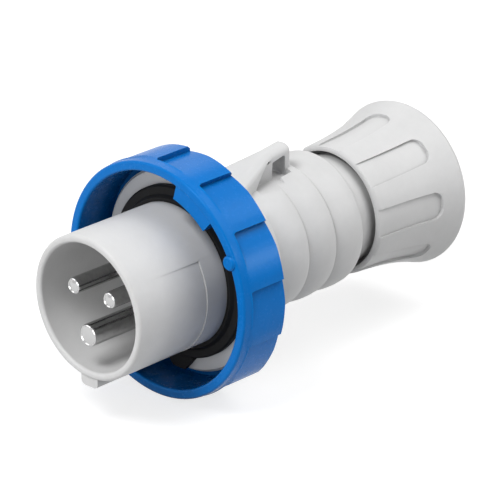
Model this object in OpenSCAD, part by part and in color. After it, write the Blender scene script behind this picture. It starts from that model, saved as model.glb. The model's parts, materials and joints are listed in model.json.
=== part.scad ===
// Watertight pin and sleeve plug, two poles and earth, with a bayonet coupling ring,
// a ribbed handle with a hanging eye and a flared cable gland nut.
// The plug lies along Y: the pins point to -Y, the key is below and the eye on top.
// Depths are counted from the front rim of the sleeve, towards the cable.
// Clock angles are seen from the pins: 0 is up and 90 is to the right.

/* [Sleeve] */
// Outer diameter of the sleeve
sleeve_d = 43.8; // [40:0.2:50]
// Wall of the sleeve
sleeve_wall = 2.4; // [1.8:0.1:3.2]
// Depth of the sleeve's floor behind the front rim
sleeve_depth = 36.5; // [34:0.5:42]
// Thickness of the sleeve's floor
floor_t = 4.2; // [3:0.2:6]
// Rounding of the front rim
rim_round = 1.0; // [0.4:0.1:1.1]
// Width of the key below the sleeve
key_w = 6.8; // [4:0.2:8]
// Height of the key over the sleeve
key_h = 2.8; // [2:0.2:4.4]
// Depth of the shallow panel under the sleeve at its rear end
panel_t = 0.25; // [0.1:0.05:0.5]
// Length of the shallow panel
panel_len = 22.4; // [15:0.2:24]
// Clock angle at which the shallow panel starts on each side
panel_clock = 57; // [40:1:80]

/* [Pins] */
// Radius of the circle that the pins stand on
pin_circle_r = 8.5; // [8.2:0.1:9.5]
// Diameter of the line and neutral pins
pin_d = 5.0; // [4:0.1:5.4]
// Diameter of the earth pin
earth_d = 6.8; // [5:0.1:7.2]
// Recess of the line and neutral tips behind the rim
pin_recess = 1.6; // [1:0.1:5]
// Recess of the earth tip behind the rim
earth_recess = 0; // [0:0.1:2]
// Chamfer of the pin tips
tip_chamfer = 0.7; // [0.3:0.1:1.2]
// Diameter of the terminal barrel behind a pin
barrel_d = 8.6; // [7.4:0.1:9]
// Length of the terminal barrel
barrel_len = 15; // [12:0.5:18]
// Diameter of the hole for a conductor
wire_d = 4.4; // [3:0.1:4.8]
// Diameter of a terminal screw
terminal_screw_d = 3.9; // [3:0.1:4.2]

/* [Flange and gasket] */
// Outer diameter of the flange
flange_d = 62.8; // [58:0.2:66]
// Distance of the flange's front face behind the sleeve's floor
flange_step = 1.8; // [0.5:0.1:4]
// Thickness of the flange
flange_t = 2.7; // [2:0.1:4]
// Width of the face gasket's ring round the sleeve
gasket_w = 4.6; // [3.5:0.1:6]
// Thickness of the gasket's outer part
gasket_t = 2.3; // [1.5:0.1:3]
// Height of the gasket's inner lip over its outer part
gasket_lip = 1.3; // [0.8:0.1:3]
// Bite of the ring's lip behind the flange
lip_bite = 3.45; // [2:0.05:4]
// Length of the spigot behind the hub
spigot_len = 6.2; // [4.6:0.1:6.6]
// Step from the hub down to the spigot
spigot_step = 2.45; // [1.5:0.05:3]

/* [Bayonet ring] */
// Gap between the flange and the ring's bore
ring_gap = 1.9; // [1:0.1:2.5]
// Wall of the ring's plain band
ring_wall = 3.0; // [2.4:0.1:4]
// Rise of the grip ramps over the plain band
grip_rise = 0.6; // [0.3:0.1:1.5]
// Length of the ring in front of the flange's face
ring_lead = 11.2; // [8:0.2:14]
// Thickness of the ring's inner lip
ring_lip_t = 3.0; // [2:0.1:4]
// Length of the plain band
band_len = 3.4; // [2:0.2:6]
// Number of grip ramps
grip_count = 13; // [10:1:16]
// Clock angle of the first ramp's step
grip_clock = 24; // [0:1:30]
// Depth of a ramp at its step
grip_depth = 1.6; // [0.8:0.1:1.7]
// Corner rounding of a ramp's front end
grip_round = 2.6; // [1:0.1:4]
// Number of bayonet lugs inside the ring
lug_count = 2; // [2:1:3]
// Clock angle of the first lug's middle
lug_clock = 29; // [0:1:60]
// Angle that a lug covers
lug_angle = 27; // [15:1:35]
// Height of a lug over the bore
lug_h = 4.2; // [2:0.1:5]
// Thickness of a lug at its low end
lug_t = 3.4; // [2:0.1:5]
// Rise of the cam on the back of a lug
lug_cam = 1.4; // [0.5:0.1:2]
// Diameter of the round marker nub on the front rim
nub_d = 4.4; // [3:0.1:5]
// Clock angle of the marker nub
nub_clock = 64; // [50:1:90]
// Turn of the ring between its stops
ring_turn = 50; // [30:1:70]

/* [Handle] */
// Height of the collar behind the ring over the hub
collar_step = 2.65; // [2:0.05:5]
// Length of the collar and its bell shape
bell_len = 15.0; // [14:0.2:20]
// Diameter in the valleys between the ribs
valley_d = 40.2; // [39:0.2:44]
// Number of ribs on the handle
rib_count = 3; // [2:1:4]
// Length of one rib
rib_pitch = 11.7; // [10.8:0.1:12]
// Height of a rib over the valleys
rib_h = 1.3; // [0.6:0.05:1.8]
// Wall of the handle
handle_wall = 2.3; // [1.8:0.1:3]
// Diameter of the neck in front of the gland nut
neck_d = 34.6; // [34:0.2:37]
// Visible length of the neck
neck_len = 7.4; // [4:0.2:12]
// Diameter over the handle's thread
thread_d = 33.6; // [32:0.2:33.8]
// Length of the handle's thread
thread_len = 12.4; // [11:0.2:16]
// Bore of the neck
neck_bore_d = 26.4; // [24:0.2:28]
// Distance of the hanging eye's rear face behind the bell
eye_place = 21.8; // [19:0.2:24]
// Width of the hanging eye
eye_w = 6; // [4:0.5:9]
// Height of the eye over the axis
eye_top = 28.4; // [27:0.2:34]
// Thickness of the eye's bar over its hole
eye_bar = 2.8; // [2:0.1:4]
// Length of the eye's hole along the plug
eye_hole = 5.4; // [4.4:0.1:7]
// Thickness of the eye's rear leg
eye_leg = 2.4; // [2:0.1:4]
// Width of the fairing at the front of the eye
fairing_w = 17; // [14:0.5:22]

/* [Gland] */
// Diameter of the gland nut at its front
nut_front_d = 41.4; // [40:0.2:46]
// Largest diameter of the gland nut
nut_rear_d = 52.4; // [46:0.2:60]
// Length of the gland nut
nut_len = 34.8; // [32:0.2:44]
// Wall of the nut's bell
nut_wall = 2.6; // [2:0.1:3]
// Number of flutes round the nut
flute_count = 8; // [6:1:10]
// Clock angle of the first flute
flute_clock = -3; // [-20:1:20]
// Width of a flute
flute_w = 8.8; // [6:0.2:10]
// Length of a flute
flute_len = 25.4; // [18:0.2:27]
// Bore of the rubber cable seal
seal_bore_d = 13; // [8:0.5:16]
// Length of the rubber cable seal
seal_len = 10; // [6:0.5:12]
// Length of the clamping collet
collet_len = 7.6; // [6:0.2:9]
// Thickness of the slip washer
washer_t = 1.6; // [1:0.1:2.4]
// Throat of the nut behind the washer
throat_d = 18.4; // [17:0.2:20]

/* [Hidden] */
$fn = 64;

housing_grey = "lightgray";
ring_blue = "royalblue";
rubber_black = [0.13, 0.13, 0.13];
nickel = "silver";
steel = "darkgray";
carrier_grey = "dimgray";
clamp_grey = "gainsboro";

eps = 0.01;              // overlap that joins two shapes of one piece
run_gap = 0.05;          // radial clearance of a turning fit
seat_gap = 0.1;          // clearance of a piece that is pushed into its seat
side_gap = 0.2;          // axial clearance on each side of the ring's lip
curve_steps = 10;        // stretches in a bell or flare
edge_steps = 5;          // stretches round a moulded edge

sleeve_r = sleeve_d / 2;
sleeve_ir = sleeve_r - sleeve_wall;
gasket_r = sleeve_r + gasket_w;
flange_r = flange_d / 2;
flange_z = sleeve_depth + flange_step;
flange_back = flange_z + flange_t;
hub_r = flange_r - lip_bite;
lip_z = flange_back + side_gap;
ring_back = lip_z + ring_lip_t;
handle_z = ring_back + side_gap;
spigot_r = hub_r - spigot_step;
spigot_end = handle_z + spigot_len;
spigot_wall = 3.2;       // wall of the spigot
cavity_r = spigot_r - spigot_wall;
floor_back = sleeve_depth + floor_t;
pin_boss_h = 1;          // collar of the floor round each pin
pin_boss_wall = 1.6;
pin_root_t = 0.2;        // extra radius of a pin's root in the floor
pin_root_z = sleeve_depth - pin_boss_h - 0.5;
seal_ring_t = 1.6;       // section of the body seal
seal_groove_w = 2.0;
seal_groove_t = 1.6;
seal_groove_z = handle_z + spigot_len / 2 - seal_groove_w / 2;

pins = [["line", -60, pin_d, pin_recess], ["neutral", 60, pin_d, pin_recess],
        ["earth", 180, earth_d, earth_recess]];
collar_t = 2;            // shoulder that seats a pin against the floor
barrel_z = floor_back + collar_t;
barrel_end = barrel_z + barrel_len;
wire_hole_len = 10;
terminal_z = barrel_end - 3.6;     // depth of the terminal screws
terminal_head_d = 5.8;
terminal_head_t = 2.2;
guard_t = 0.4;
guard_angle = 100;

carrier_flange_t = 3;
carrier_r = 18.2;
carrier_end = barrel_end - 0.8;
carrier_screw_clock = 120;         // left and right, between the earth pin and the others
carrier_screw_circle_r = 14;
carrier_screw_d = 3;
carrier_head_d = 5.4;
carrier_head_t = 2;
carrier_screw_bite = 3;            // length that the screw holds in the floor

ring_front = flange_z - ring_lead;
bore_r = flange_r + ring_gap;
band_r = bore_r + ring_wall;
grip_r = band_r + grip_rise;
grip_z = ring_front + band_len;
grip_pitch = 360 / grip_count;
wide_grip = grip_count - 3;        // ramp of double width that marks the ring's other side
grip_run_out = 0.3;                // extra rise that ends a ramp before the next step
lug_r = bore_r - lug_h;
ring_edge = 0.8;                   // edge rounding of the ring
nub_h = 0.8;
nub_r_place = bore_r + 0.6;
stop_angle = 9;                    // angle of the stop on the hub
stop_h = 2.2;
stop_margin = 1;

bell_end = handle_z + bell_len;
rib_start = bell_end;
ribs_end = rib_start + rib_count * rib_pitch;
valley_r = valley_d / 2;
rib_crest = 0.88;                  // place of the crest along a rib
rib_stations = [0.14, 0.28, 0.42, 0.56, 0.7, 0.88, 0.93, 0.965, 0.99, 1];
collar_r = hub_r + collar_step;
collar_band = 1.2;
socket_r = spigot_r + seat_gap;
socket_end = spigot_end + 0.3;
chamber_r = valley_r - handle_wall;
neck_r = neck_d / 2;
neck_bore_r = neck_bore_d / 2;
seal_seat_r = neck_bore_r - 1.8;
chamber_first = 6;                 // bell station at which the chamber starts to follow the bell
thread_lead = 5;                   // smooth part of the neck inside the nut
thread_z = ribs_end + neck_len + thread_lead;
thread_r = thread_d / 2;
thread_end = thread_z + thread_len;
nut_z = ribs_end + neck_len;
eye_rear = bell_end + eye_place;
eye_fall = 0.09;                   // slope of the eye's top line at its rear end
eye_curve = 0.0055;                // growth of that slope towards the front
eye_front = bell_end - 4;
eye_edge = 0.9;                    // rounding of the eye's rear corner
eye_crown = 2.2;                   // rounding of the eye's upper edges
eye_hole_rear = eye_rear - eye_leg;
eye_hole_front = eye_hole_rear - eye_hole;
eye_hole_high = eye_top - eye_bar;
eye_hole_slope = 1.0;              // fall of the hole's upper edge towards the front
hood_start = bell_end + 3.6;       // where the fairing's rear edge leaves the handle
hood_floor = valley_r - 0.8;       // height of the flat under the hood and the eye's hole
hood_steps = 8;
fairing_stations = [0, 0.25, 0.5, 0.75, 1];

nut_front_r = nut_front_d / 2;
nut_rear_r = nut_rear_d / 2;
nut_end = nut_z + nut_len;
nut_edge = 2.6;                    // rounding of the nut's rear rim
nut_lip = 1.6;                     // rounding of the nut's front rim
nut_mouth_r = neck_r + 1.6;
thread_gap = 0.08;                 // radial clearance between the two thread cylinders
nut_bore_r = thread_r + thread_gap;
seal_z = thread_end - collet_len - seal_len + 1.2;
collet_z = seal_z + seal_len;
collet_end = collet_z + collet_len;
washer_z = collet_end + seat_gap;
washer_end = washer_z + washer_t;
web_z = washer_end + seat_gap;
web_t = 2.6;
throat_r = throat_d / 2;
collet_ir = 9.6;
finger_slots = 4;
finger_gap = 1.2;
flute_depth = [0.5, 1.1];          // depth of a flute at the nut's front and at its widest place
flute_round = 3.2;                 // corner rounding of a flute's rear end

// Turns a shape that was built along Z so that its depth runs along +Y and its -Y side is up
module along_plug() { rotate([-90, 0, 0]) children(); }

// Puts a shape that was built at 12 o'clock to another clock angle
module at_clock(angle) { rotate([0, 0, angle]) children(); }

// Revolves an outline of [radius, depth] points
module turned(points) { rotate_extrude($fn = 96) polygon(points); }

// A tube from one depth to another
module tube(z0, z1, outer, inner) {
    translate([0, 0, z0]) difference() {
        cylinder(r = outer, h = z1 - z0);
        translate([0, 0, -1]) cylinder(r = inner, h = z1 - z0 + 2);
    }
}

// A bar along the depth with its middle at a radius towards 12 o'clock
module rod(z0, z1, r, place = 0) {
    translate([0, -place, z0]) cylinder(r = r, h = z1 - z0);
}

// A rod that points outwards at 12 o'clock, between two radii
module spoke(r0, r1, r, z) {
    translate([0, -r0, z]) rotate([90, 0, 0]) cylinder(r = r, h = r1 - r0);
}

// Points of an arc in [radius, depth], from one angle to another
function edge_arc(centre, r, a0, a1) =
    [for (i = [0:edge_steps]) let (a = a0 + (a1 - a0) * i / edge_steps)
        [centre[0] + r * cos(a), centre[1] + r * sin(a)]];

// A plane outline of an annular sector at 12 o'clock
module sector(inner, outer, angle) {
    steps = 8;
    polygon(concat(
        [for (i = [0:steps]) let (a = -angle / 2 + angle * i / steps) [outer * sin(a), -outer * cos(a)]],
        [for (i = [steps:-1:0]) let (a = -angle / 2 + angle * i / steps) [inner * sin(a), -inner * cos(a)]]));
}

// Upright plate: the outline's x runs along the depth and its y points up
module side_plate(width) {
    rotate(a = 180, v = [1, 0, 1]) translate([0, 0, -width / 2]) linear_extrude(width) children();
}

// Sleeve, key, floor, flange, hub and spigot in one moulding
module front_housing() {
    color(housing_grey) along_plug() difference() {
        union() {
            turned(concat(
                edge_arc([sleeve_ir + rim_round, rim_round], rim_round, 180, 270),
                edge_arc([sleeve_r - rim_round, rim_round], rim_round, 270, 360),
                [[sleeve_r, flange_z], [flange_r - ring_edge, flange_z], [flange_r, flange_z + ring_edge],
                 [flange_r, flange_back], [hub_r, flange_back], [hub_r, handle_z], [spigot_r, handle_z],
                 [spigot_r, seal_groove_z], [spigot_r - seal_groove_t, seal_groove_z],
                 [spigot_r - seal_groove_t, seal_groove_z + seal_groove_w],
                 [spigot_r, seal_groove_z + seal_groove_w],
                 [spigot_r, spigot_end - 0.5], [spigot_r - 0.5, spigot_end], [cavity_r, spigot_end],
                 [cavity_r, floor_back], [0, floor_back], [0, sleeve_depth], [sleeve_ir, sleeve_depth]]));
            key();
            for (p = pins) at_clock(p[1])
                rod(sleeve_depth - pin_boss_h, sleeve_depth + eps, p[2] / 2 + pin_boss_wall, pin_circle_r);
            at_clock(180) translate([0, 0, flange_back - eps])
                linear_extrude(handle_z - flange_back + eps) sector(hub_r - 1, hub_r + stop_h, stop_angle);
        }
        for (p = pins) at_clock(p[1])
            rod(sleeve_depth - pin_boss_h - 1, floor_back + 1, p[2] / 2 + pin_root_t + run_gap, pin_circle_r);
        for (side = [-1, 1]) at_clock(side * carrier_screw_clock)
            rod(floor_back - carrier_screw_bite, floor_back + 1, carrier_screw_d / 2, carrier_screw_circle_r);
        shallow_panel();
    }
}

// Key under the sleeve, with rounded outer edges
module key() {
    key_round = 1.6;
    key_front = rim_round / 2;
    key_back = flange_z - gasket_t - gasket_lip - 0.4;
    at_clock(180) {
        translate([-key_w / 2, -(sleeve_r + key_h - key_round), key_front])
            cube([key_w, key_h - key_round + sleeve_wall / 2, key_back - key_front]);
        translate([-key_w / 2 + key_round, -(sleeve_r + key_h), key_front])
            cube([key_w - 2 * key_round, key_h, key_back - key_front]);
        for (side = [-1, 1]) translate([side * (key_w / 2 - key_round), 0, 0])
            rod(key_front, key_back, key_round, sleeve_r + key_h - key_round);
    }
}

// Cutter of the shallow panel that deepens towards the flange, round the lower part of the sleeve
module shallow_panel() {
    panel_front = 4.5;
    side_angle = (360 - 2 * panel_clock) / 2;
    key_angle = 2 * asin(key_w / 2 / sleeve_r);
    taper_len = panel_len + 1 + eps;
    for (side = [-1, 1]) at_clock(side * (panel_clock + (side_angle - key_angle / 2) / 2))
        translate([0, 0, panel_front]) difference() {
            linear_extrude(panel_len) sector(sleeve_r - 1, sleeve_r + 1, side_angle - key_angle / 2);
            translate([0, 0, -1]) cylinder(r1 = sleeve_r + 0.03, r2 = sleeve_r - panel_t, h = taper_len);
        }
}

// Rubber gasket on the flange, with a raised inner lip and a locating tab at the key
module face_gasket() {
    inner = sleeve_r + seat_gap;
    face_z = flange_z - gasket_t;
    lip_top = face_z - gasket_lip;
    lip_w = 1.0;
    edge = 0.5;
    tab_w = 12;
    tab_t = gasket_t - 0.6;
    color(rubber_black) along_plug() {
        turned([[inner, flange_z], [inner, lip_top], [inner + lip_w, lip_top],
                [inner + lip_w + 0.9, face_z], [gasket_r - edge, face_z], [gasket_r, face_z + edge],
                [gasket_r, flange_z]]);
        at_clock(180) translate([0, 0, flange_z - tab_t]) linear_extrude(tab_t)
            polygon([[-tab_w / 2, -(gasket_r - 2)], [tab_w / 2, -(gasket_r - 2)], [tab_w / 2, -gasket_r],
                     [tab_w / 5, -(flange_r - 0.6)], [-tab_w / 5, -(flange_r - 0.6)],
                     [-tab_w / 2, -gasket_r]]);
    }
}

// Contact pin with its seating shoulder, terminal barrel and conductor hole
module contact_pin(p) {
    r = p[2] / 2;
    tip = p[3];
    color(nickel) along_plug() at_clock(p[1]) difference() {
        translate([0, -pin_circle_r, 0]) turned([
            [0, tip], [r - tip_chamfer, tip], [r - tip_chamfer / 4, tip + tip_chamfer / 2],
            [r, tip + tip_chamfer * 1.6], [r, pin_root_z], [r + pin_root_t, pin_root_z + pin_root_t],
            [r + pin_root_t, floor_back], [barrel_d / 2 - 0.4, floor_back],
            [barrel_d / 2 - 0.4, barrel_z], [barrel_d / 2, barrel_z], [barrel_d / 2, barrel_end - 0.4],
            [barrel_d / 2 - 0.4, barrel_end], [0, barrel_end]]);
        rod(barrel_end - wire_hole_len, barrel_end + 1, wire_d / 2, pin_circle_r);
        spoke(pin_circle_r, pin_circle_r + barrel_d, terminal_screw_d / 2 + run_gap, terminal_z);
    }
}

// Terminal screw that points at the conductor from outside, with a slotted head
module terminal_screw(p) {
    tip_r = pin_circle_r + wire_d / 2 - 0.1;
    head_r = pin_circle_r + barrel_d / 2 + 0.4;
    color(steel) along_plug() at_clock(p[1]) difference() {
        union() {
            spoke(tip_r, head_r + eps, terminal_screw_d / 2, terminal_z);
            spoke(head_r, head_r + terminal_head_t, terminal_head_d / 2, terminal_z);
        }
        translate([-terminal_head_d, -(head_r + terminal_head_t + 1), terminal_z - 0.5])
            cube([2 * terminal_head_d, 2, 1]);
    }
}

// Bent strip between a terminal screw and the conductor
module wire_guard(p) {
    outer = wire_d / 2 - seat_gap;
    color(steel) along_plug() at_clock(p[1]) translate([0, -pin_circle_r, barrel_end - wire_hole_len + 1])
        linear_extrude(wire_hole_len - 1.4) sector(outer - guard_t, outer, guard_angle);
}

// Insulating block that holds the barrels and is screwed to the floor
module contact_carrier() {
    gap = seat_gap;
    color(carrier_grey) along_plug() difference() {
        union() {
            tube(floor_back, floor_back + carrier_flange_t, cavity_r - gap, 1);
            rod(floor_back, carrier_end, carrier_r);
        }
        translate([0, 0, floor_back - 1]) cylinder(r = 2, h = carrier_end - floor_back + 2);
        for (p = pins) at_clock(p[1]) {
            rod(floor_back - 1, carrier_end + 1, barrel_d / 2 + gap, pin_circle_r);
            spoke(pin_circle_r, carrier_r + 3, terminal_head_d / 2 + 0.3, terminal_z);
        }
        for (side = [-1, 1]) at_clock(side * carrier_screw_clock) {
            rod(floor_back - 1, carrier_end + 1, carrier_screw_d / 2 + gap, carrier_screw_circle_r);
            rod(floor_back + carrier_flange_t + carrier_head_t, carrier_end + 1,
                carrier_head_d / 2 + 0.3, carrier_screw_circle_r);
        }
    }
}

// Screw that holds the carrier to the floor, with a cross recess
module carrier_screw(side) {
    head_z = floor_back + carrier_flange_t + carrier_head_t;
    color(steel) along_plug() at_clock(side * carrier_screw_clock) difference() {
        union() {
            rod(floor_back - carrier_screw_bite + 0.3, head_z + eps, carrier_screw_d / 2 - run_gap,
                carrier_screw_circle_r);
            rod(head_z, head_z + carrier_head_t, carrier_head_d / 2, carrier_screw_circle_r);
        }
        for (turn = [0, 90]) translate([0, -carrier_screw_circle_r, head_z + carrier_head_t])
            rotate([0, 0, turn]) cube([carrier_head_d * 0.7, 0.7, 2.2], center = true);
    }
}

// Round rubber seal in the groove of the spigot
module body_seal() {
    middle_r = spigot_r - seal_groove_t + seal_ring_t / 2 + run_gap / 2;
    color(rubber_black) along_plug() rotate_extrude($fn = 96)
        translate([middle_r, seal_groove_z + seal_groove_w / 2])
            circle(r = seal_ring_t / 2, $fn = 32);
}

// Coupling ring with grip ramps outside, bayonet lugs inside and a lip that turns on the hub
module bayonet_ring() {
    e = ring_edge;
    color(ring_blue) along_plug() difference() {
        union() {
            turned(concat(
                edge_arc([bore_r + e, ring_front + e], e, 180, 270),
                edge_arc([band_r - e, ring_front + e], e, 270, 360),
                [[band_r, grip_z - 0.6], [grip_r, grip_z + 0.6], [grip_r, ring_back - e],
                 [grip_r - e, ring_back], [hub_r + run_gap, ring_back], [hub_r + run_gap, lip_z],
                 [bore_r, lip_z]]));
            for (i = [0:lug_count - 1]) at_clock(lug_clock + i * 360 / lug_count) bayonet_lug();
            at_clock(nub_clock) marker_nub();
        }
        for (i = [0:grip_count - 1]) if (i != wide_grip && i != wide_grip + 1)
            at_clock(grip_clock + i * grip_pitch) grip_cutter(grip_pitch);
        at_clock(grip_clock + wide_grip * grip_pitch) grip_cutter(2 * grip_pitch);
        at_clock(180 + ring_turn / 2) translate([0, 0, lip_z - 1]) linear_extrude(ring_lip_t + 2)
            sector(hub_r - 1, hub_r + stop_h + 0.3, stop_angle + ring_turn + 2 * stop_margin);
    }
}

// Lug inside the ring: flush with the front rim and with a cam ramp behind
module bayonet_lug() {
    half = (bore_r + 1) * sin(lug_angle / 2);
    beyond = 4;
    intersection() {
        translate([0, 0, ring_front + 0.3]) linear_extrude(lug_t + lug_cam)
            sector(lug_r, bore_r + 1, lug_angle);
        translate([0, -lug_r + beyond, 0]) rotate([90, 0, 0]) linear_extrude(lug_h + 2 * beyond)
            polygon([[-half, ring_front], [half, ring_front], [half, ring_front + lug_t + lug_cam],
                     [-half * 0.2, ring_front + lug_t + lug_cam], [-half, ring_front + lug_t]]);
    }
}

// Round nub that marks the ring's position to the touch
module marker_nub() {
    translate([0, -nub_r_place, 0]) turned([
        [0, ring_front - nub_h], [nub_d / 2 - 0.5, ring_front - nub_h], [nub_d / 2, ring_front - nub_h + 0.5],
        [nub_d / 2, ring_front + nub_d], [0, ring_front + nub_d]]);
}

// Cutter that starts at a step and runs out before the next one
module grip_cutter(pitch) {
    low = grip_r - grip_depth;
    half = grip_r * sin(pitch / 2);
    beyond = 3;
    rib_left = 0.4;
    shift = (grip_depth + grip_run_out) / 2 / sin(pitch / 2);
    mean_r = grip_r - grip_depth / 2 + grip_run_out / 2;
    floor_r = norm([mean_r, shift * cos(pitch / 2)]);
    at_clock(pitch / 2) intersection() {
        translate([0, 0, grip_z]) linear_extrude(ring_back - grip_z + 1) difference() {
            sector(low - beyond, grip_r + beyond, pitch - rib_left);
            translate([shift, 0]) circle(r = floor_r, $fn = 128);
        }
        translate([0, -low / 2, 0]) rotate([90, 0, 0]) linear_extrude(grip_r) {
            translate([-half + grip_round, grip_z - 1])
                square([2 * half + beyond, ring_back - grip_z + 2]);
            translate([-half - 1, grip_z - 1 + grip_round]) square([grip_round + 2, ring_back - grip_z]);
            translate([-half + grip_round, grip_z - 1 + grip_round]) circle(r = grip_round, $fn = 32);
        }
    }
}

// Radius of the bell between the collar and the first rib
function bell_r(t) = valley_r + (collar_r - valley_r) * (0.5 + 0.5 * cos(180 * t));

// Height of a rib: a long convex rise and a short round fall at its rear
function rib_rise(t) = t < rib_crest ? sin(90 * t / rib_crest)
    : sqrt(max(0, 1 - pow((t - rib_crest) / (1 - rib_crest), 2)));

// Handle: collar, bell, ribs, neck and thread outside, chamber for the conductors inside
module handle() {
    bell_z = handle_z + collar_band;
    color(housing_grey) along_plug() difference() {
        union() {
            difference() {
                turned(concat(
                    [[neck_bore_r - 2, handle_z], [collar_r - 0.5, handle_z], [collar_r, handle_z + 0.5]],
                    [for (i = [0:curve_steps]) let (t = i / curve_steps)
                        [bell_r(t), bell_z + (bell_end - bell_z) * t]],
                    [for (k = [0:rib_count - 1], t = rib_stations)
                        [valley_r + rib_h * rib_rise(t), rib_start + (k + t) * rib_pitch]],
                    [[neck_r + 0.6, ribs_end + 0.4], [neck_r, ribs_end + 1], [neck_r, thread_z - 0.6],
                     [thread_r, thread_z], [thread_r, thread_end - 0.8], [thread_r - 0.8, thread_end],
                     [neck_bore_r - 2, thread_end]]));
                hood_flat();
            }
            hanging_eye();
        }
        translate([0, 0, handle_z - 1]) cylinder(r = socket_r, h = socket_end - handle_z + 1);
        chamber();
    }
}

// Chamber behind the spigot and the bore through the neck
module chamber() {
    bell_z = handle_z + collar_band;
    turned(concat(
        [[0, socket_end - eps], [socket_r - 2.4, socket_end - eps]],
        [for (i = [chamber_first:curve_steps]) let (t = i / curve_steps)
            [bell_r(t) - handle_wall, bell_z + (bell_end - bell_z) * t]],
        [[chamber_r, ribs_end - 3], [seal_seat_r, ribs_end + 0.5], [seal_seat_r, seal_z - run_gap],
         [neck_bore_r, seal_z - run_gap], [neck_bore_r, thread_end + 1], [0, thread_end + 1]]));
}

// Height of the eye's top line at a depth
function eye_line(z) = let (d = eye_rear - eye_edge - z) eye_top - eye_fall * d - eye_curve * pow(d, 2);

// Hanging eye: a plate with a hole, a crowned bar on top and a fairing that opens towards the ring
module hanging_eye() {
    root = chamber_r + 0.6;
    bar_front = eye_hole_front - 0.5;
    difference() {
        union() {
            side_plate(eye_w) polygon([
                [eye_front, root], [eye_front, eye_line(eye_front) - eye_crown],
                [bar_front + 1, eye_line(bar_front) - eye_crown], [bar_front + 1, root]]);
            hull() {
                arch(bar_front - 0.7, eye_w / 2 - 0.1, root, eye_line(bar_front) - 0.2, eye_crown);
                arch(bar_front + 0.6, eye_w / 2, root, eye_line(bar_front + 0.6), eye_crown);
                arch(eye_rear - eye_edge, eye_w / 2, root, eye_line(eye_rear - eye_edge), eye_crown);
                arch(eye_rear - eye_edge / 3, eye_w / 2 - 0.3, root, eye_top - eye_edge / 4, eye_crown);
                arch(eye_rear - 0.1, eye_w / 2 - 0.7, root, eye_top - eye_edge, eye_crown);
            }
            fairing(root, bar_front);
        }
        eye_window(root);
    }
}

// Fairing in front of the eye, with its rear end cut back like a hood
module fairing(root, bar_front) {
    rear_half = eye_w / 2 + 0.03;
    crown_grow = 6;
    difference() {
        hull() for (t = fairing_stations) {
            z = bar_front + (eye_front - bar_front) * t;
            half = rear_half + (fairing_w / 2 - rear_half) * t;
            arch(z, half, root, eye_line(z), eye_crown + crown_grow * t);
        }
        side_plate(2 * fairing_w) polygon(concat(
            [for (i = [0:hood_steps]) let (t = i / hood_steps)
                [hood_start + (eye_hole_rear - hood_start) * t,
                 hood_floor + (eye_hole_high + 0.2 - hood_floor) * sin(90 * min(1, t * 1.6))]],
            [[eye_hole_rear, root - 2], [hood_start, root - 2]]));
    }
}

// Cutter of the flat under the hood and of the narrower recess under the eye's hole
module hood_flat() {
    rise = 4;
    recess_half = 5.2;
    hood_end = eye_hole_front + 0.6;
    recess_end = eye_hole_rear - 0.2;
    side_plate(2 * fairing_w) polygon([
        [hood_start, hood_floor], [hood_end, hood_floor], [hood_end + rise / 2, hood_floor + rise / 2],
        [hood_end + rise / 2, hood_floor + rise], [hood_start, hood_floor + rise]]);
    side_plate(2 * recess_half) polygon([
        [hood_end - 1, hood_floor], [recess_end, hood_floor], [recess_end + rise / 2, hood_floor + rise],
        [hood_end - 1, hood_floor + rise]]);
}

// Cutter of the eye's hole
module eye_window(root) {
    corner = 0.8;
    side_plate(2 * fairing_w) polygon(concat(
        [[eye_hole_front - 0.6, root - 2], [eye_hole_front, eye_hole_high - eye_hole_slope]],
        [for (a = [90:-30:0]) [eye_hole_rear + corner * (cos(a) - 1), eye_hole_high + corner * (sin(a) - 1)]],
        [[eye_hole_rear, root - 2]]));
}

// One section of the eye: a thin plate with rounded upper corners
module arch(z, half, low, top, round) {
    thin = 0.1;
    r = min(round, half - 0.3, (top - low) / 2);
    for (side = [-1, 1]) translate([side * (half - r), -(top - r), z])
        cylinder(r = r, h = thin, $fn = 32);
    translate([-half, -(low + 0.2), z]) cube([2 * half, 0.2, thin]);
}

// Rubber bush that closes round the cable
module cable_seal() {
    outer = neck_bore_r - seat_gap;
    color(rubber_black) along_plug() turned([
        [seal_bore_d / 2, seal_z], [outer - 0.8, seal_z], [outer, seal_z + 0.8], [outer, collet_z - 1.6],
        [outer - 1.6, collet_z], [seal_bore_d / 2, collet_z]]);
}

// Slotted clamping collet that the slip washer presses on the seal
module clamp_collet() {
    outer = neck_bore_r - seat_gap;
    color(clamp_grey) along_plug() difference() {
        turned([[collet_ir, collet_z + 0.4], [outer - 1.2, collet_z + 0.05], [outer, collet_z + 1.2],
                [outer, collet_end - 2], [outer - 1.2, collet_end], [collet_ir, collet_end]]);
        for (i = [0:finger_slots - 1]) rotate([0, 0, i * 180 / finger_slots])
            translate([-outer - 1, -finger_gap / 2, collet_z + 2.2])
                cube([2 * outer + 2, finger_gap, collet_len]);
    }
}

// Washer between the collet and the turning nut
module slip_washer() {
    color(nickel) along_plug() tube(washer_z, washer_end, nut_bore_r - 0.4, throat_r + 0.3);
}

// Radius of the nut's outside between its front and the widest place
function nut_r(t) = nut_front_r + (nut_rear_r - nut_front_r) * (0.3 * t + 0.7 * pow(t, 2.6));

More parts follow.
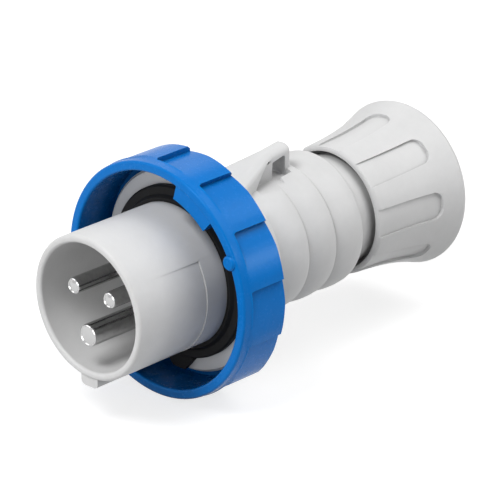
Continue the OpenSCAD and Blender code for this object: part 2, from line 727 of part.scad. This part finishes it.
// Gland nut: fluted and flared outside, threaded in front and hollow like a bell behind
module gland_nut() {
    flare_end = nut_end - nut_edge;
    bell_front = web_z + web_t;
    flare = flare_end - nut_z;
    color(housing_grey) along_plug() difference() {
        turned(concat(
            [[nut_mouth_r, nut_z]],
            edge_arc([nut_front_r - nut_lip, nut_z + nut_lip], nut_lip, 270, 350),
            [for (i = [1:curve_steps]) let (t = i / curve_steps) [nut_r(t), nut_z + flare * t]],
            edge_arc([nut_rear_r - nut_edge, flare_end], nut_edge, 9, 90),
            [[nut_rear_r - nut_wall - 0.6, nut_end], [nut_rear_r - nut_wall - 0.8, nut_end - 0.8]],
            [for (i = [curve_steps - 1:-1:curve_steps - 3]) let (t = i / curve_steps)
                [nut_r(t) - nut_wall, nut_z + flare * t]],
            [[nut_r((bell_front - nut_z) / flare) - nut_wall - 1, bell_front + 1],
             [nut_r((bell_front - nut_z) / flare) - nut_wall - 2, bell_front],
             [throat_r + 0.8, bell_front], [throat_r, bell_front - 0.8], [throat_r, web_z],
             [nut_bore_r, web_z], [nut_bore_r, thread_z + 0.5], [nut_mouth_r, thread_z - 1.5]]));
        for (i = [0:flute_count - 1]) at_clock(flute_clock + i * 360 / flute_count) flute_cutter();
    }
}

// Cutter of one flute, open at the front and rounded at its rear end, with a floor that follows the flare
module flute_cutter() {
    half = flute_w / 2;
    r = flute_round;
    over = 3;
    flare = nut_len - nut_edge;
    difference() {
        translate([0, -nut_front_r + over, nut_z]) rotate([90, 0, 0]) linear_extrude(4 * over) {
            translate([-half, -over]) square([flute_w, flute_len - r + over]);
            translate([-half + r, -over]) square([flute_w - 2 * r, flute_len + over]);
            for (side = [-1, 1]) translate([side * (half - r), flute_len - r]) circle(r = r, $fn = 48);
        }
        turned(concat(
            [[0, nut_z - 2 * over], [nut_front_r - flute_depth[0], nut_z - 2 * over]],
            [for (i = [0:curve_steps]) let (t = i / curve_steps)
                [nut_r(t) - flute_depth[0] - (flute_depth[1] - flute_depth[0]) * t, nut_z + flare * t]],
            [[0, nut_z + flare]]));
    }
}

front_housing();
face_gasket();
contact_carrier();
contact_pin(pins[0]);  // pin_line
contact_pin(pins[1]);  // pin_neutral
contact_pin(pins[2]);  // pin_earth
terminal_screw(pins[0]);  // terminal_screw_line
terminal_screw(pins[1]);  // terminal_screw_neutral
terminal_screw(pins[2]);  // terminal_screw_earth
wire_guard(pins[0]);  // wire_guard_line
wire_guard(pins[1]);  // wire_guard_neutral
wire_guard(pins[2]);  // wire_guard_earth
carrier_screw(-1);  // carrier_screw_left
carrier_screw(1);  // carrier_screw_right
body_seal();
bayonet_ring();
handle();
cable_seal();
clamp_collet();
slip_washer();
gland_nut();
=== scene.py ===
import json
import math

import bpy
from mathutils import Matrix, Vector


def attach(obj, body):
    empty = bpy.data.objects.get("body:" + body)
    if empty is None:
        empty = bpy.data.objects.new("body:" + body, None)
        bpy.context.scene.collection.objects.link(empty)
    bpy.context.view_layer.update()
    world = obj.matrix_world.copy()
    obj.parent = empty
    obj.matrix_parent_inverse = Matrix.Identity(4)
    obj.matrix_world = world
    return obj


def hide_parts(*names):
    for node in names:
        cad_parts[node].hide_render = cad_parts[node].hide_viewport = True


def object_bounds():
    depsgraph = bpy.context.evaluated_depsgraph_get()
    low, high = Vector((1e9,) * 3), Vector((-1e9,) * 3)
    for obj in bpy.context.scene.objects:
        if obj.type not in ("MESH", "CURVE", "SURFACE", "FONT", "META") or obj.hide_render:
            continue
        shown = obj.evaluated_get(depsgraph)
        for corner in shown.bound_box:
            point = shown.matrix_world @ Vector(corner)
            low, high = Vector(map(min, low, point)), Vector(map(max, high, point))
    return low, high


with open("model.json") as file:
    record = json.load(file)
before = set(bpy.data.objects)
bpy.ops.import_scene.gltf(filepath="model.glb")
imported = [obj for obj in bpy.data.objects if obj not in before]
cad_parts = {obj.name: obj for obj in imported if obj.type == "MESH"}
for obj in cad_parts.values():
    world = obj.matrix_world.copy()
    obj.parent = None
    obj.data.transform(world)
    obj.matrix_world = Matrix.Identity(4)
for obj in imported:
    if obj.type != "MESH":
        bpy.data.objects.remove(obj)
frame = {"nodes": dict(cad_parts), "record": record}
cad_low, cad_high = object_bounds()

# A pin and sleeve plug. The origin is the centre of the sleeve's front rim, +Y runs towards
# the cable, and the hanging eye is at +Z.

MM = 0.001
TOUCH = 0.02 * MM  # a point this near to a surface lies on it
BODY_OF = {
    node: body
    for body, nodes in frame["record"]["behaviour"]["bodies"].items()
    for node in nodes
}


# Working on one piece at a time

SAME_POINT = 0.002 * MM
SAME_PLANE = math.radians(0.4)
SMOOTH_UP_TO = 32  # degrees between two faces
LARGE_FACES_LEAD = 60  # from 1 to 100, and 50 treats all faces alike


def put_all_down():
    for each in bpy.context.selected_objects:
        each.select_set(False)


def take_up(piece):
    put_all_down()
    bpy.context.view_layer.objects.active = piece
    piece.select_set(True)


def copy_of(node, name):
    """A copy of a solid with its loose triangles merged and its flat faces made whole."""
    piece = bpy.data.objects.new(name, frame["nodes"][node].data.copy())
    bpy.context.scene.collection.objects.link(piece)
    piece.data.name = name
    take_up(piece)
    bpy.ops.object.mode_set(mode="EDIT")
    bpy.ops.mesh.select_mode(type="FACE")
    bpy.ops.mesh.select_all(action="SELECT")
    bpy.ops.mesh.customdata_custom_splitnormals_clear()
    bpy.ops.mesh.remove_doubles(threshold=SAME_POINT)
    bpy.ops.mesh.dissolve_limited(angle_limit=SAME_PLANE)
    bpy.ops.object.mode_set(mode="OBJECT")
    return piece


def pick(piece, wanted):
    """Selects the points for which wanted is true, and stays in edit mode."""
    take_up(piece)
    bpy.ops.object.mode_set(mode="EDIT")
    bpy.ops.mesh.select_mode(type="VERT")
    bpy.ops.mesh.select_all(action="DESELECT")
    bpy.ops.object.mode_set(mode="OBJECT")
    for point in piece.data.vertices:
        point.select = bool(wanted(point.co))
    bpy.ops.object.mode_set(mode="EDIT")


def round_edges(piece, width_mm, sharper_than=34, steps=2):
    """Rounds the edges that turn by more degrees than sharper_than."""
    take_up(piece)
    soft = piece.modifiers.new("broken_edges", "BEVEL")
    soft.limit_method = "ANGLE"
    soft.angle_limit = math.radians(sharper_than)
    soft.width = width_mm * MM
    soft.segments = steps
    soft.use_clamp_overlap = True
    soft.miter_outer = "MITER_ARC"
    bpy.ops.object.modifier_apply(modifier=soft.name)


def smooth(piece, up_to=SMOOTH_UP_TO):
    """Smooth shading, led by the large faces so that no narrow one leaves a streak."""
    take_up(piece)
    bpy.ops.object.shade_smooth_by_angle(angle=math.radians(up_to))
    even = piece.modifiers.new("even_normals", "WEIGHTED_NORMAL")
    even.keep_sharp = True
    even.weight = LARGE_FACES_LEAD
    bpy.ops.object.modifier_apply(modifier=even.name)


def hand_over(piece, node, slot):
    """The piece stands for its solid, moves with its body and wears its slot's finish."""
    piece.data.materials.clear()
    piece.data.materials.append(FINISH_OF[slot])
    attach(piece, BODY_OF[node])
    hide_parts(node)


# Shader nodes

COLOUR_A, COLOUR_B, COLOUR_RESULT = 6, 7, 2  # sockets of a Mix node that mixes colours


def feed(tree, value, socket):
    """A socket takes a plain value, or the output of another node."""
    if isinstance(value, bpy.types.NodeSocket):
        tree.links.new(value, socket)
    else:
        socket.default_value = value


def math_node(tree, operation, first, second, clamp=False):
    node = tree.nodes.new("ShaderNodeMath")
    node.operation = operation
    node.use_clamp = clamp
    feed(tree, first, node.inputs[0])
    feed(tree, second, node.inputs[1])
    return node.outputs[0]


def weighed_sum(tree, first, share, second):
    """Adds two values, the first by its share and the second by the rest."""
    return math_node(
        tree, "ADD",
        math_node(tree, "MULTIPLY", first, share),
        math_node(tree, "MULTIPLY", second, 1.0 - share),
    )


def noise(tree, vector, scale, detail, roughness):
    """Noise whose scale counts its waves in a metre."""
    node = tree.nodes.new("ShaderNodeTexNoise")
    labels = ("Vector", "Scale", "Detail", "Roughness")
    for label, value in zip(labels, (vector, scale, detail, roughness)):
        feed(tree, value, node.inputs[label])
    return node.outputs[0]


def spread(tree, value, low, high, to_low=0.0, to_high=1.0):
    """Stretches what lies from low to high so that it runs from to_low to to_high."""
    node = tree.nodes.new("ShaderNodeMapRange")
    labels = ("Value", "From Min", "From Max", "To Min", "To Max")
    for label, number in zip(labels, (value, low, high, to_low, to_high)):
        feed(tree, number, node.inputs[label])
    return node.outputs[0]


def mix_colour(tree, mask, first, second):
    node = tree.nodes.new("ShaderNodeMix")
    node.data_type = "RGBA"
    tree.links.new(mask, node.inputs["Factor"])
    for socket, colour in ((COLOUR_A, first), (COLOUR_B, second)):
        value = (*colour, 1.0) if isinstance(colour, tuple) else colour
        feed(tree, value, node.inputs[socket])
    return node.outputs[COLOUR_RESULT]


def mix_shaders(tree, mask, first, second):
    node = tree.nodes.new("ShaderNodeMixShader")
    for socket, source in zip(node.inputs, (mask, first, second)):
        tree.links.new(source, socket)
    return node.outputs[0]


def bump(tree, height, depth_mm):
    node = tree.nodes.new("ShaderNodeBump")
    node.inputs["Strength"].default_value = 1.0
    node.inputs["Distance"].default_value = depth_mm * MM
    tree.links.new(height, node.inputs["Height"])
    return node.outputs["Normal"]


def along_y(tree, vector):
    """How far along the plug a place lies."""
    node = tree.nodes.new("ShaderNodeSeparateXYZ")
    tree.links.new(vector, node.inputs[0])
    return node.outputs["Y"]


# Effects that the finishes share

GRAIN, FLOW, TURNING = 2200.0, 60.0, 2600.0  # usual counts of their marks in a metre
CLOUDS = 6.0  # small clouds to one flow mark
NOISE_SPAN = (0.3, 0.7)  # the values that nearly all of a noise lies between
EDGE_REACH, NOOK_REACH = 0.45, 4.0  # mm
STILL_FLAT, WELL_ROUND = 0.995, 0.86  # cosines of the face's normal to its rounded one
OPEN, SHUT_IN = 0.92, 0.35  # shares of open air round a point


def new_group(name, amounts, results):
    """A node group that reads a place and its named amounts, and puts out its results."""
    group = bpy.data.node_groups.new(name, "ShaderNodeTree")
    group.interface.new_socket("Vector", in_out="INPUT", socket_type="NodeSocketVector")
    for label, usual in amounts.items():
        socket = group.interface.new_socket(
            label, in_out="INPUT", socket_type="NodeSocketFloat"
        )
        socket.default_value = usual
    for label in results:
        group.interface.new_socket(label, in_out="OUTPUT", socket_type="NodeSocketFloat")
    start = group.nodes.new("NodeGroupInput")
    end = group.nodes.new("NodeGroupOutput")
    return group, start.outputs, end.inputs


def moulded_skin_group():
    """Fine tool grain with slow flow marks, for every moulded surface."""
    group, given, result = new_group(
        "moulded_skin", {"Grain": GRAIN, "Flow": FLOW}, ("Tone", "Shine", "Height")
    )
    place = given["Vector"]
    grain = noise(group, place, given["Grain"], detail=3.0, roughness=0.6)
    flow = noise(group, place, given["Flow"], detail=2.0, roughness=0.45)
    cloud_scale = math_node(group, "MULTIPLY", given["Flow"], CLOUDS)
    cloud = noise(group, place, cloud_scale, detail=3.0, roughness=0.6)
    tone = weighed_sum(group, flow, 0.6, cloud)
    shine = weighed_sum(group, cloud, 0.7, grain)
    group.links.new(spread(group, tone, *NOISE_SPAN), result["Tone"])
    group.links.new(spread(group, shine, *NOISE_SPAN), result["Shine"])
    group.links.new(grain, result["Height"])
    return group


def handled_edge_group():
    """Where a corner turns: a mask for handling marks on edges."""
    group, given, result = new_group("handled_edge", {"Reach": EDGE_REACH * MM}, ("Edge",))
    rounded = group.nodes.new("ShaderNodeBevel")
    rounded.samples = 4
    group.links.new(given["Reach"], rounded.inputs["Radius"])
    surface = group.nodes.new("ShaderNodeNewGeometry")
    turn = group.nodes.new("ShaderNodeVectorMath")
    turn.operation = "DOT_PRODUCT"
    group.links.new(rounded.outputs["Normal"], turn.inputs[0])
    group.links.new(surface.outputs["Normal"], turn.inputs[1])
    bend = spread(group, turn.outputs["Value"], STILL_FLAT, WELL_ROUND)
    marks = noise(group, given["Vector"], scale=900.0, detail=3.0, roughness=0.6)
    broken = spread(group, marks, low=0.3, high=0.62)
    group.links.new(
        math_node(group, "MULTIPLY", bend, broken, clamp=True), result["Edge"]
    )
    return group


def painted_nook_shade_group():
    """Where a surface lies in a nook: a mask for painted shade, fuller where less open air
    surrounds a point, broken into patches.
    """
    group, given, result = new_group("painted_nook_shade", {"Reach": NOOK_REACH * MM}, ("Nook",))
    # Ambient occlusion: how shut in a point is, which sets where shade is painted.
    open_air = group.nodes.new("ShaderNodeAmbientOcclusion")
    open_air.samples = 12
    group.links.new(given["Reach"], open_air.inputs["Distance"])
    closed = spread(group, open_air.outputs["AO"], OPEN, SHUT_IN)
    patches = noise(group, given["Vector"], scale=400.0, detail=2.0, roughness=0.5)
    patchy = spread(group, patches, low=0.2, high=0.8, to_low=0.8)
    group.links.new(
        math_node(group, "MULTIPLY", closed, patchy, clamp=True), result["Nook"]
    )
    return group


def turned_metal_group():
    """Fine turning rings along the plug with short rubbing marks."""
    group, given, result = new_group("turned_metal", {"Pitch": TURNING}, ("Rings", "Rubbed"))
    line = group.nodes.new("ShaderNodeCombineXYZ")
    group.links.new(along_y(group, given["Vector"]), line.inputs["Y"])
    rings = noise(group, line.outputs[0], given["Pitch"], detail=4.0, roughness=0.7)
    rubs = noise(group, given["Vector"], scale=500.0, detail=4.0, roughness=0.65)
    group.links.new(rings, result["Rings"])
    group.links.new(spread(group, rubs, low=0.35, high=0.75), result["Rubbed"])
    return group


MOULDED_SKIN = moulded_skin_group()
HANDLED_EDGE = handled_edge_group()
PAINTED_NOOK_SHADE = painted_nook_shade_group()
TURNED_METAL = turned_metal_group()


# Finishes


def bare_material(name):
    material = bpy.data.materials.new(name)
    material.use_nodes = True
    tree = material.node_tree
    tree.nodes.clear()
    out = tree.nodes.new("ShaderNodeOutputMaterial")
    skin = tree.nodes.new("ShaderNodeBsdfPrincipled")
    tree.links.new(skin.outputs[0], out.inputs["Surface"])
    return material, tree, skin, out


def object_place(tree):
    return tree.nodes.new("ShaderNodeTexCoord").outputs["Object"]


def place_group(tree, group, **amounts):
    """Sets a shared effect into a material, with the material's own amounts."""
    node = tree.nodes.new("ShaderNodeGroup")
    node.node_tree = group
    tree.links.new(object_place(tree), node.inputs["Vector"])
    for label, value in amounts.items():
        node.inputs[label].default_value = value
    return node.outputs


def moulding(
    name, deep, pale, rubbed, rough, grain=GRAIN, flow=FLOW, grain_mm=0.012,
    level=0.5, sheen=(1.0, 1.0, 1.0), painted_shade_share=0.6, nook_reach=NOOK_REACH,
):
    """A moulded finish: two close shades, rubbed edges, painted shade in nooks and a roughness
    range.
    """
    material, tree, skin, _ = bare_material(name)
    body = place_group(tree, MOULDED_SKIN, Grain=grain, Flow=flow)
    edge = place_group(tree, HANDLED_EDGE, Reach=EDGE_REACH * MM)
    nook = place_group(tree, PAINTED_NOOK_SHADE, Reach=nook_reach * MM)
    shades = mix_colour(tree, body["Tone"], deep, pale)
    shades = mix_colour(tree, edge["Edge"], shades, rubbed)
    # Painted shade: the deep shade darkened, laid into nooks where the occlusion mask finds
    # little open air.
    painted_shade_colour = tuple(shade * painted_shade_share for shade in deep)
    shades = mix_colour(tree, nook["Nook"], shades, painted_shade_colour)
    tree.links.new(shades, skin.inputs["Base Color"])
    tree.links.new(spread(tree, body["Shine"], 0.0, 1.0, *rough), skin.inputs["Roughness"])
    tree.links.new(bump(tree, body["Height"], grain_mm), skin.inputs["Normal"])
    skin.inputs["Specular IOR Level"].default_value = level
    skin.inputs["Specular Tint"].default_value = (*sheen, 1.0)
    return material


def turned(name, colour, worn, rough, pitch=TURNING, ring_mm=0.004, clean_tip=None):
    """A turned metal finish. From a clean tip its rubbed marks grow between two places, in mm."""
    material, tree, skin, _ = bare_material(name)
    body = place_group(tree, TURNED_METAL, Pitch=pitch)
    shades = mix_colour(tree, body["Rubbed"], colour, worn)
    if clean_tip:
        none, full = clean_tip
        at_tip = spread(tree, along_y(tree, object_place(tree)), full * MM, none * MM)
        shades = mix_colour(tree, at_tip, shades, colour)
    tree.links.new(shades, skin.inputs["Base Color"])
    tree.links.new(spread(tree, body["Rubbed"], 0.0, 1.0, *rough), skin.inputs["Roughness"])
    tree.links.new(bump(tree, body["Rings"], ring_mm), skin.inputs["Normal"])
    skin.inputs["Metallic"].default_value = 1.0
    return material


def grey(shade):
    return (shade, shade, shade)


# Each finish paints shade into its nooks: as dark as its share of the deep shade, and reaching
# nook_reach mm.
FINISH_OF = {
    "grey_moulding": moulding(
        "light_grey_moulding",
        deep=grey(0.66), pale=grey(0.71), rubbed=grey(0.78), rough=(0.36, 0.48),
        level=0.3, painted_shade_share=0.66, nook_reach=6.0,
    ),
    "blue_moulding": moulding(
        "blue_ring_moulding",
        deep=(0.0008, 0.165, 0.56), pale=(0.001, 0.178, 0.6), rubbed=(0.004, 0.24, 0.7),
        rough=(0.24, 0.29), flow=90.0, grain_mm=0.004, level=0.16,
        sheen=(0.45, 0.72, 1.0), painted_shade_share=0.35, nook_reach=13.0,
    ),
    "black_rubber": moulding(
        "black_gasket_rubber",
        deep=(0.008, 0.008, 0.0085), pale=(0.014, 0.014, 0.0145),
        rubbed=(0.03, 0.03, 0.031), rough=(0.48, 0.66),
        grain=3000.0, grain_mm=0.02, level=0.12,
    ),
    "dark_insulator": moulding(
        "dark_contact_block",
        deep=(0.028, 0.03, 0.033), pale=(0.04, 0.042, 0.046),
        rubbed=(0.07, 0.07, 0.075), rough=(0.4, 0.55),
    ),
    "pale_moulding": moulding(
        "pale_collet_moulding",
        deep=(0.6, 0.58, 0.52), pale=(0.68, 0.66, 0.6), rubbed=(0.74, 0.73, 0.68),
        rough=(0.4, 0.5),
    ),
    "nickel": turned(
        "bright_nickel_pin",
        colour=grey(0.5), worn=grey(0.38), rough=(0.07, 0.14), clean_tip=(2.0, 3.4),
    ),
    "screw_steel": turned(
        "zinc_plated_screw",
        colour=(0.62, 0.63, 0.64), worn=grey(0.52), rough=(0.24, 0.4), pitch=1800.0,
    ),
}


# Sleeve, gasket, ring and nut

FINE_EDGE, NUT_EDGE = 0.2, 0.4  # mm


def finish(piece, node, slot, edge_mm):
    round_edges(piece, edge_mm)
    smooth(piece)
    hand_over(piece, node, slot)


for node, name, slot, edge_mm in (
    ("front_housing", "sleeve_and_flange", "grey_moulding", FINE_EDGE),
    ("face_gasket", "face_gasket_rubber", "black_rubber", FINE_EDGE),
    ("bayonet_ring", "blue_coupling_ring", "blue_moulding", FINE_EDGE),
    ("gland_nut", "fluted_gland_nut", "grey_moulding", NUT_EDGE),
):
    finish(copy_of(node, name), node, slot, edge_mm)


# Handle

RIBS = 3
RIB_START, RIB_PITCH = 59.4 * MM, 11.7 * MM
VALLEY_R, RIB_HEIGHT = 20.1 * MM, 1.3 * MM
CREST_AT = 0.88  # where a solid rib is highest, as a share of its pitch
CROWNED_RIB = (  # the moulded rib's height at shares of its pitch
    (0, 0), (0.14, 0.52), (0.28, 0.8), (0.42, 0.95), (0.56, 1.0), (0.7, 0.98),
    (0.88, 0.82), (0.93, 0.7), (0.965, 0.52), (0.99, 0.26), (1, 0),
)
EYE_CLEAR, EYE_BLEND = 26, 16  # degrees beside the eye that stay, and over which it changes

THREAD_START, THREAD_PITCH, THREAD_TURNS = 106.9 * MM, 3.0 * MM, 3
CREST_R, ROOT_R = 16.8 * MM, 16.0 * MM
STEPS_A_TURN = 56


def solid_rise(t):
    """Height of a solid rib, as a share of its full height."""
    if t < CREST_AT:
        return math.sin(math.radians(90 * t / CREST_AT))
    return math.sqrt(max(0.0, 1 - ((t - CREST_AT) / (1 - CREST_AT)) ** 2))


def crowned_rise(t):
    """Height of a moulded rib: a full round rise that already falls before its rear edge."""
    for (t0, h0), (t1, h1) in zip(CROWNED_RIB, CROWNED_RIB[1:]):
        if t <= t1:
            return h0 + (h1 - h0) * (t - t0) / (t1 - t0)
    return 0.0


def crown_ribs(piece):
    """Rounds the handle's ribs as the moulded ones are, clear of the hanging eye."""
    for point in piece.data.vertices:
        reach = math.hypot(point.co.x, point.co.z)
        step = (point.co.y - RIB_START) / RIB_PITCH
        in_reach = VALLEY_R - TOUCH < reach < VALLEY_R + RIB_HEIGHT + TOUCH
        if 0 < step < RIBS and in_reach:
            t = step - math.floor(step)
            from_eye = abs(math.degrees(math.atan2(point.co.x, point.co.z)))
            share = min(1.0, max(0.0, (from_eye - EYE_CLEAR) / EYE_BLEND))
            grown = 1 + share * RIB_HEIGHT * (crowned_rise(t) - solid_rise(t)) / reach
            point.co.x *= grown
            point.co.z *= grown


def turn_down_thread(piece):
    """Takes the neck's plain cylinder down to the root of its thread."""
    pick(
        piece,
        lambda co: co.y > THREAD_START - TOUCH and math.hypot(co.x, co.z) > CREST_R - TOUCH,
    )
    down = ROOT_R / CREST_R
    bpy.ops.transform.resize(value=(down, 1, down), center_override=(0, 0, 0))
    bpy.ops.object.mode_set(mode="OBJECT")


def helix(name, foot_r, top_r, foot_half, top_half, start):
    """A ridge of trapezoid section wound round Y, with its half widths at foot and top."""
    put_all_down()
    bpy.ops.mesh.primitive_plane_add(size=1, location=(0, 0, 0))
    ridge = bpy.context.active_object
    ridge.name = ridge.data.name = name
    bpy.ops.object.mode_set(mode="EDIT")
    bpy.ops.mesh.delete(type="ONLY_FACE")
    bpy.ops.object.mode_set(mode="OBJECT")
    for point in ridge.data.vertices:
        reach, half = (top_r, top_half) if point.co.x > 0 else (foot_r, foot_half)
        point.co = (reach, start + (half if point.co.y > 0 else -half), 0)
    take_up(ridge)
    wind = ridge.modifiers.new("wind", "SCREW")
    wind.axis = "Y"
    wind.angle = math.radians(360)
    wind.screw_offset = THREAD_PITCH
    wind.iterations = THREAD_TURNS
    wind.steps = wind.render_steps = STEPS_A_TURN
    wind.use_merge_vertices = False
    bpy.ops.object.modifier_apply(modifier=wind.name)
    bpy.ops.object.mode_set(mode="EDIT")
    bpy.ops.mesh.select_all(action="SELECT")
    bpy.ops.mesh.remove_doubles(threshold=SAME_POINT)
    bpy.ops.mesh.fill_holes(sides=4)
    bpy.ops.mesh.normals_make_consistent(inside=False)
    bpy.ops.object.mode_set(mode="OBJECT")
    smooth(ridge, up_to=30)
    return ridge


handle = copy_of("handle", "ribbed_handle")
turn_down_thread(handle)
crown_ribs(handle)
finish(handle, "handle", "grey_moulding", FINE_EDGE)

thread = helix(
    "gland_thread", foot_r=ROOT_R - 0.2 * MM, top_r=CREST_R,
    foot_half=1.1 * MM, top_half=0.35 * MM, start=THREAD_START + 1.4 * MM,
)
hand_over(thread, "handle", "grey_moulding")


# Contact pins

PIN_CIRCLE = 8.5 * MM
TIP_INSETS = (0.35, 0.45)  # shares of the flat's radius, each ring inside the last
CROWN_STEPS = ((0.98, 0.42), (0.6, 0.16))  # beyond this share of the radius, mm back


def domed_pin(node, name, clock, tip_y, flat_r):
    """A contact pin whose flat tip is crowned as a turned one is."""
    piece = copy_of(node, name)
    lean = math.radians(clock)
    centre_x, centre_z = PIN_CIRCLE * math.sin(lean), PIN_CIRCLE * math.cos(lean)

    def on_tip(co, beyond=0.0):
        from_centre = math.hypot(co.x - centre_x, co.z - centre_z)
        return abs(co.y - tip_y) < TOUCH and from_centre >= beyond * flat_r

    pick(piece, on_tip)
    bpy.ops.mesh.select_mode(type="FACE")
    for share in TIP_INSETS:
        bpy.ops.mesh.inset(thickness=share * flat_r, depth=0)
    bpy.ops.object.mode_set(mode="OBJECT")
    for share, back_mm in CROWN_STEPS:
        pick(piece, lambda co: on_tip(co, beyond=share))
        bpy.ops.transform.translate(value=(0, back_mm * MM, 0))
        bpy.ops.object.mode_set(mode="OBJECT")
    round_edges(piece, FINE_EDGE, sharper_than=14, steps=3)
    smooth(piece, up_to=40)
    hand_over(piece, node, "nickel")


# pole, degrees round from the hanging eye, and the tip's place and flat radius in mm
for pole, clock, tip_mm, flat_mm in (
    ("line", -60, 1.6, 1.8),
    ("neutral", 60, 1.6, 1.8),
    ("earth", 180, 0.0, 2.7),
):
    domed_pin("pin_" + pole, "contact_pin_" + pole, clock, tip_mm * MM, flat_mm * MM)


# Solids that keep their shape and get a finish

for node, slot in (
    ("contact_carrier", "dark_insulator"),
    ("terminal_screw_line", "screw_steel"),
    ("terminal_screw_neutral", "screw_steel"),
    ("terminal_screw_earth", "screw_steel"),
    ("wire_guard_line", "screw_steel"),
    ("wire_guard_neutral", "screw_steel"),
    ("wire_guard_earth", "screw_steel"),
    ("carrier_screw_left", "screw_steel"),
    ("carrier_screw_right", "screw_steel"),
    ("body_seal", "black_rubber"),
    ("cable_seal", "black_rubber"),
    ("clamp_collet", "pale_moulding"),
    ("slip_washer", "pale_moulding"),
):
    frame["nodes"][node].data.materials.clear()
    frame["nodes"][node].data.materials.append(FINISH_OF[slot])


# Floor and air

FLOOR_HALF, FLOOR_BELOW = 6.0, 0.02 * MM
FLOOR_SHADE, FLOOR_GLOW = 0.45, 0.72
FLOOR_ROUGH, FLOOR_GLOSS = 0.9, 0.1
AIR_FILL = 0.09


def seeing_rays(tree):
    """1 for the rays that show the background: straight, mirrored or through glass."""
    rays = tree.nodes.new("ShaderNodeLightPath").outputs
    seen = math_node(
        tree, "ADD", rays["Is Camera Ray"], rays["Is Transmission Ray"], clamp=True
    )
    return math_node(tree, "ADD", seen, rays["Is Glossy Ray"], clamp=True)


def studio_floor():
    """A floor that glows only for the eye, takes the shadow and is clear from below."""
    put_all_down()
    bpy.ops.mesh.primitive_plane_add(
        size=2 * FLOOR_HALF, location=(0, 0, cad_low.z - FLOOR_BELOW)
    )
    floor = bpy.context.active_object
    floor.name = "studio_floor"
    bpy.ops.object.transform_apply(location=True)
    material, tree, skin, out = bare_material("pale_studio_floor")
    skin.inputs["Base Color"].default_value = (*grey(FLOOR_SHADE), 1)
    skin.inputs["Roughness"].default_value = FLOOR_ROUGH
    skin.inputs["Specular IOR Level"].default_value = FLOOR_GLOSS
    glow = tree.nodes.new("ShaderNodeEmission")
    glow.inputs["Strength"].default_value = FLOOR_GLOW
    both = tree.nodes.new("ShaderNodeAddShader")
    tree.links.new(skin.outputs[0], both.inputs[0])
    tree.links.new(glow.outputs[0], both.inputs[1])
    lit = mix_shaders(tree, seeing_rays(tree), skin.outputs[0], both.outputs[0])
    surface = tree.nodes.new("ShaderNodeNewGeometry")
    clear = tree.nodes.new("ShaderNodeBsdfTransparent")
    sided = mix_shaders(tree, surface.outputs["Backfacing"], lit, clear.outputs[0])
    tree.links.new(sided, out.inputs["Surface"])
    floor.data.materials.append(material)


def background(tree, shade):
    node = tree.nodes.new("ShaderNodeBackground")
    node.inputs["Color"].default_value = (*grey(shade), 1)
    return node.outputs[0]


def studio_air():
    """White for the eye, and a faint even fill for the light."""
    world = bpy.data.worlds.new("studio_air")
    bpy.context.scene.world = world
    world.use_nodes = True
    tree = world.node_tree
    tree.nodes.clear()
    out = tree.nodes.new("ShaderNodeOutputWorld")
    air = mix_shaders(
        tree, seeing_rays(tree), background(tree, AIR_FILL), background(tree, 1)
    )
    tree.links.new(air, out.inputs["Surface"])


studio_floor()
studio_air()


# Soft light

AIM = Vector((0, 0.068, 0))  # the middle of the plug


def soft_box(name, place, size, power):
    lamp = bpy.data.lights.new(name, "AREA")
    lamp.shape = "RECTANGLE"
    lamp.size, lamp.size_y = size
    lamp.energy = power
    stand = bpy.data.objects.new(name, lamp)
    bpy.context.scene.collection.objects.link(stand)
    stand.location = AIM + Vector(place)
    stand.rotation_euler = (-Vector(place)).to_track_quat("-Z", "Y").to_euler()


# name, place from the aim and size in metres, power in watts
for box in (
    ("high_front_box", (0.0, -0.65, 0.95), (0.5, 0.4), 7.6),
    ("top_bank", (0.4, 0.55, 0.95), (0.8, 0.7), 5.0),
    ("front_key_box", (0.2, -1.0, 0.2), (0.5, 0.4), 2.6),
    ("high_right_box", (0.85, 0.3, 0.5), (0.6, 0.6), 1.4),
    ("gloss_box", (0.7, 0.7, 0.36), (0.22, 0.18), 1.4),
    ("rear_left_box", (-0.6, 0.35, 0.75), (0.6, 0.6), 1.3),
    ("front_left_box", (-0.6, -0.8, 0.4), (0.6, 0.5), 1.5),
):
    soft_box(*box)


# Camera at the photo's view

CAMERA_PLACE = (0.6115, -0.5641, 0.3755)
CAMERA_RIGHT = Vector((0.7181, 0.6959, 0.0)).normalized()
CAMERA_AHEAD = Vector((-0.6393, 0.6597, -0.3951)).normalized()
LENS, SENSOR = 230.4, 36.0  # mm
FARTHEST = 50.0

camera = bpy.data.objects.new("photo_camera", bpy.data.cameras.new("photo_camera"))
bpy.context.scene.collection.objects.link(camera)
camera.data.lens = LENS
camera.data.sensor_width = SENSOR
camera.data.clip_end = FARTHEST
camera_up = CAMERA_RIGHT.cross(CAMERA_AHEAD)
camera_turn = Matrix((CAMERA_RIGHT, camera_up, -CAMERA_AHEAD)).transposed()
camera.matrix_world = Matrix.Translation(CAMERA_PLACE) @ camera_turn.to_4x4()
bpy.context.scene.camera = camera
bpy.context.scene.view_settings.view_transform = "Standard"
